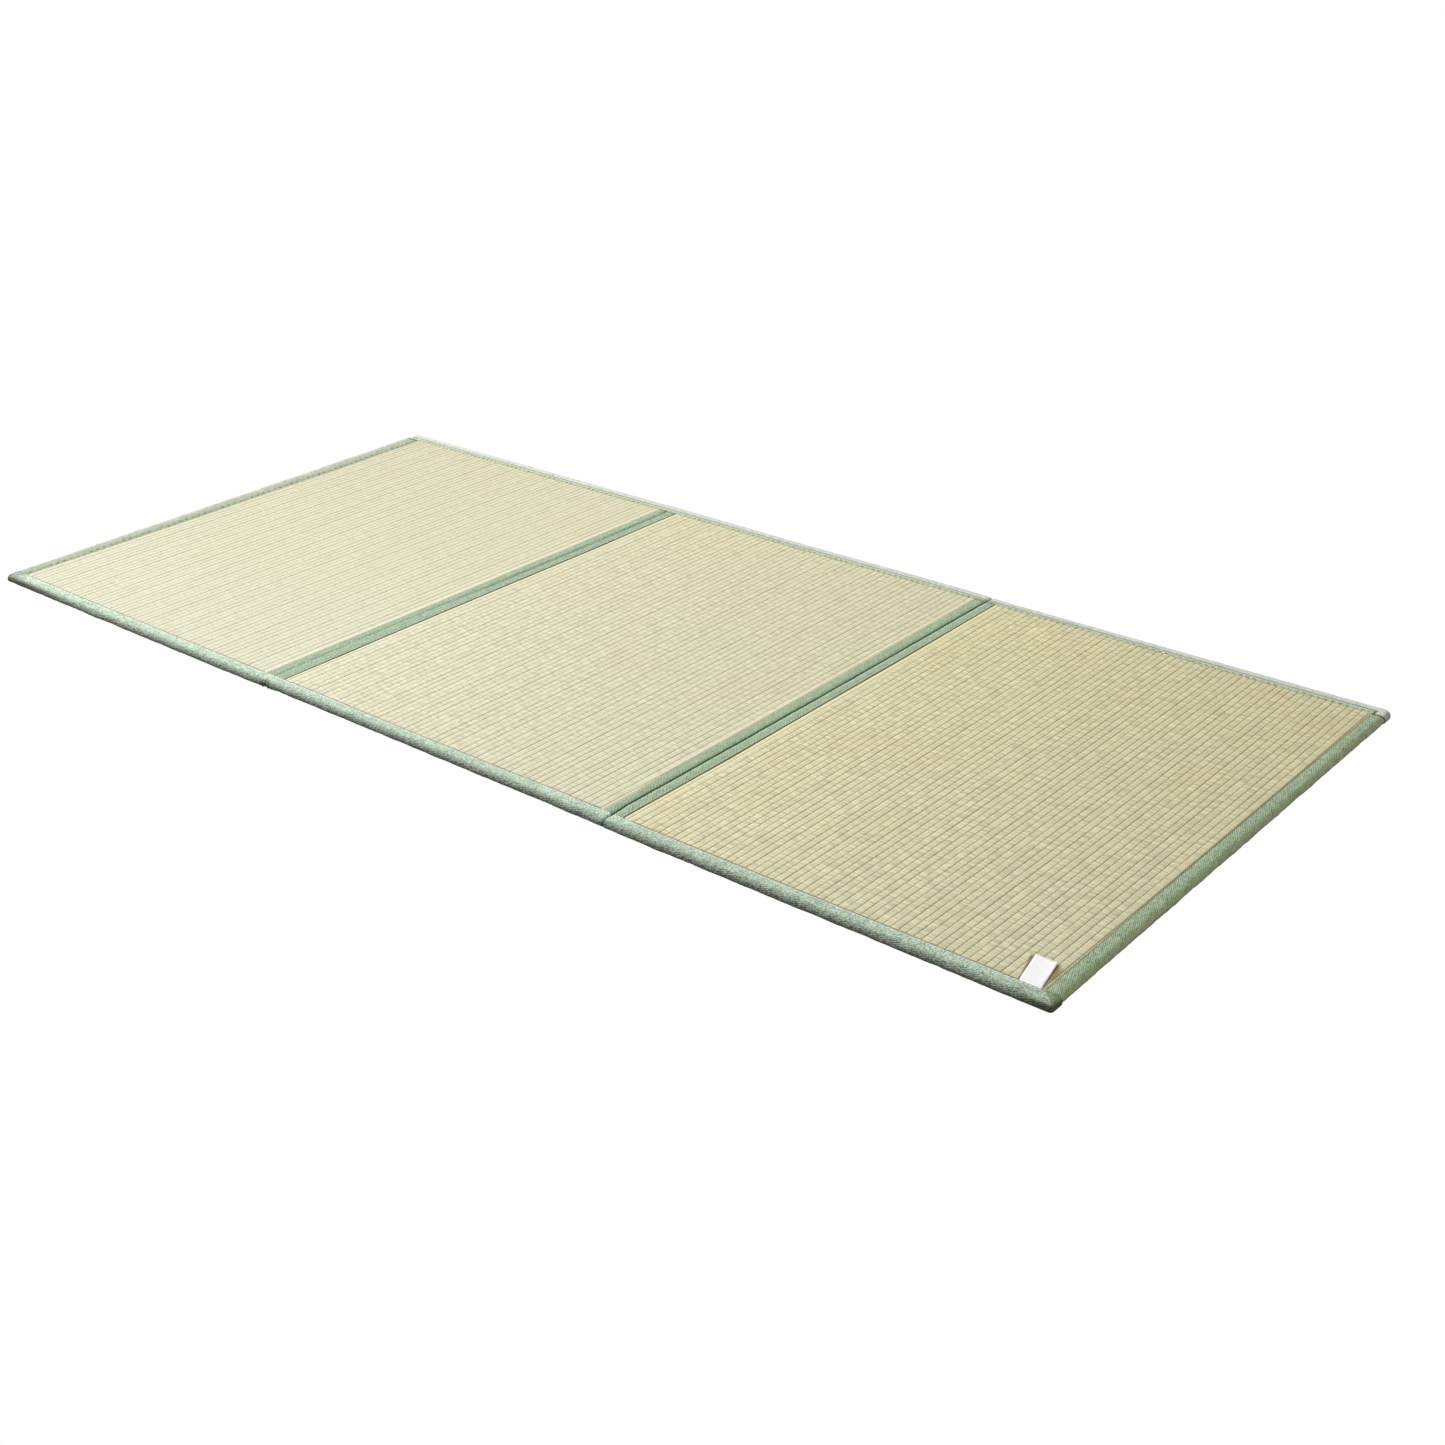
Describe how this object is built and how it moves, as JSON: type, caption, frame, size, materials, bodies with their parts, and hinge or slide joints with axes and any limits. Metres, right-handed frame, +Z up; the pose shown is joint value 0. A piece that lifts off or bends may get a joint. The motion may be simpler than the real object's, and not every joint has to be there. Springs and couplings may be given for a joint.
{
  "type": "tatami mat",
  "caption": "Folding tatami floor mat, opened out flat: padded ribbed rush panels edged and joined with sage green binding cloth.",
  "frame": {"origin": "centre of the mat's rectangle, on its flat underside", "axes": "+X along the length, towards the end with the label; +Y from the front edge to the back edge; +Z up, out of the upper face"},
  "size_m": [2.007, 0.9906, 0.0147],
  "materials": {
    "rush_pale": "woven rush, dry and ribbed, pale straw",
    "rush_mid": "woven rush, dry and ribbed, straw",
    "rush_olive": "woven rush, dry and ribbed, slightly olive",
    "binding_cloth": "woven sage green cloth, matte",
    "label_cloth": "woven white cloth, blank"
  },
  "bodies": {
    "root": {"rush_panel_left": "rush_pale", "rush_panel_middle": "rush_mid", "rush_panel_right": "rush_olive", "binding_front": "binding_cloth", "binding_back": "binding_cloth", "binding_left": "binding_cloth", "binding_right": "binding_cloth", "fold_band_left": "binding_cloth", "fold_band_right": "binding_cloth", "label_tab": "label_cloth"}
  },
  "joints": []
}
